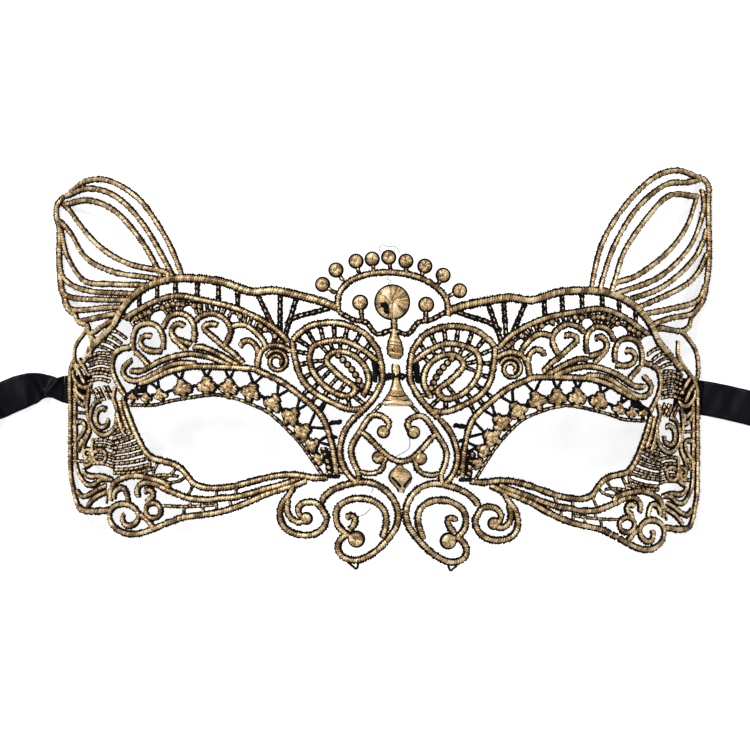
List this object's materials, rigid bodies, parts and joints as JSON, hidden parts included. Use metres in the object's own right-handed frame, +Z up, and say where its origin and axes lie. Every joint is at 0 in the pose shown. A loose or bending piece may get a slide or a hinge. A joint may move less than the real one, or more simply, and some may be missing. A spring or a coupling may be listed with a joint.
{
  "type": "lace cat-ear half mask",
  "caption": "Corded lace masquerade half mask with cat ears and open eyes, tied on with a satin ribbon at each side.",
  "frame": {"origin": "on the table under the middle of the lace's box, without the ties and their rolls", "axes": "+X towards the side with the taller ear, +Y towards the forehead and ears, +Z up, out of the front of the mask"},
  "size_m": [0.3132, 0.1143, 0.0489],
  "materials": {
    "gold_thread": "satin-stitched rayon embroidery thread",
    "black_thread": "matt embroidery thread",
    "black_satin": "satin ribbon"
  },
  "bodies": {
    "root": {"top_edge_left": "gold_thread", "ear_left": "gold_thread", "rosette_left": "gold_thread", "paisley_left": "gold_thread", "brow_cord_left": "gold_thread", "eye_trim_left": "black_thread", "brow_scrolls_left": "gold_thread", "cheek_left": "gold_thread", "jaw_left": "gold_thread", "side_edge_left": "gold_thread", "temple_left": "black_thread", "nose_curl_left": "gold_thread", "nose_scroll_left": "gold_thread", "nose_bow_left": "gold_thread", "top_edge_right": "gold_thread", "ear_right": "gold_thread", "rosette_right": "gold_thread", "paisley_right": "gold_thread", "brow_cord_right": "gold_thread", "eye_trim_right": "black_thread", "brow_scrolls_right": "gold_thread", "cheek_right": "gold_thread", "jaw_right": "gold_thread", "side_edge_right": "gold_thread", "temple_right": "black_thread", "nose_curl_right": "gold_thread", "nose_scroll_right": "gold_thread", "nose_bow_right": "gold_thread", "crown": "gold_thread", "medallion": "gold_thread", "teardrop": "gold_thread", "bell": "gold_thread", "heart": "gold_thread", "pendant": "gold_thread", "crown_bead_1": "gold_thread", "crown_bead_2": "gold_thread", "crown_bead_3": "gold_thread", "crown_bead_4": "gold_thread", "crown_bead_5": "gold_thread", "crown_bead_6": "gold_thread", "crown_bead_7": "gold_thread", "crown_bead_8": "gold_thread", "crown_bead_9": "gold_thread", "tab_left": "black_satin", "tie_left": "black_satin", "roll_left": "black_satin", "tab_right": "black_satin", "tie_right": "black_satin", "roll_right": "black_satin"}
  },
  "joints": []
}
